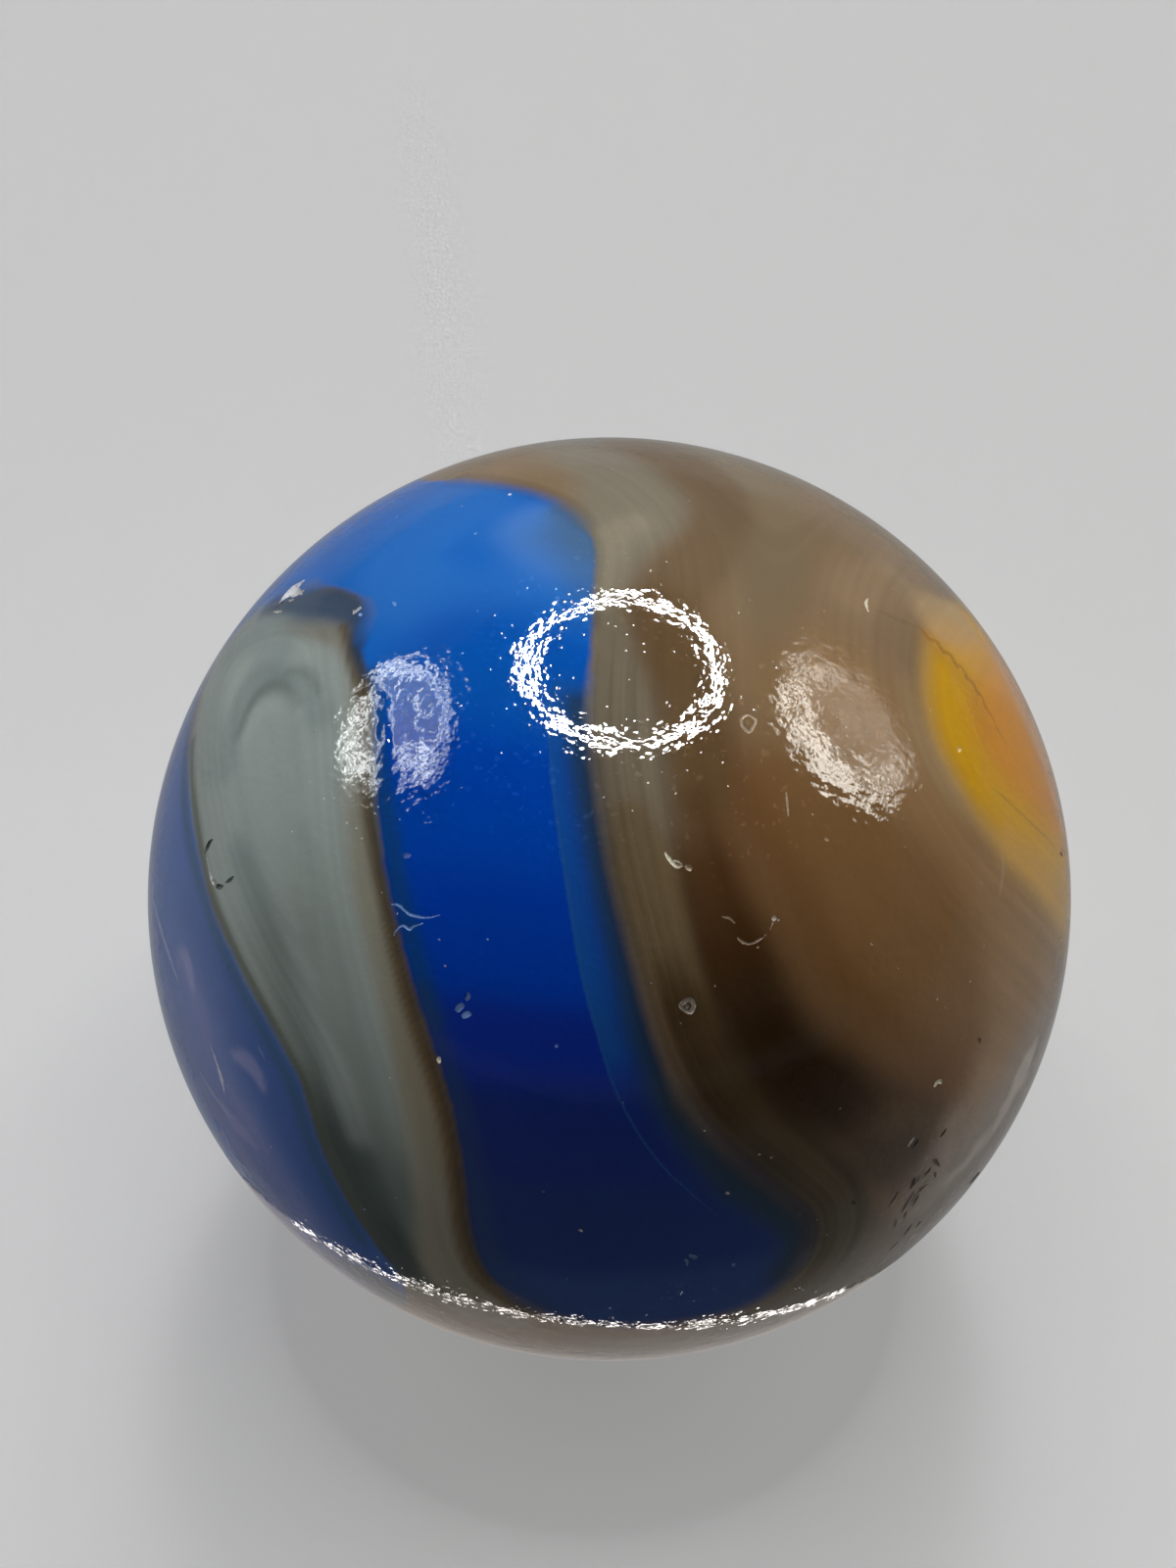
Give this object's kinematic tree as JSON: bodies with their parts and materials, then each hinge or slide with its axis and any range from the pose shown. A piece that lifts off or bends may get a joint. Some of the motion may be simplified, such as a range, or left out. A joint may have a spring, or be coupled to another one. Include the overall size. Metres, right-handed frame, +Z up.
{
  "type": "glass marble",
  "caption": "Solid glass ball of swirled blue, smoky brown, grey-green and yellow glass, for games, for display and for rolling in a groove or hole.",
  "frame": {"origin": "centre of the ball", "axes": "+Z is up, and -Y is the front, where the blue ribbon runs down beside the grey-green pool; the yellow patch is towards +X"},
  "size_m": [0.016, 0.016, 0.016],
  "materials": {
    "swirl_glass": "fire-polished, with fine orange peel, small bruises and light scratches"
  },
  "bodies": {
    "root": {"marble": "swirl_glass"}
  },
  "joints": []
}
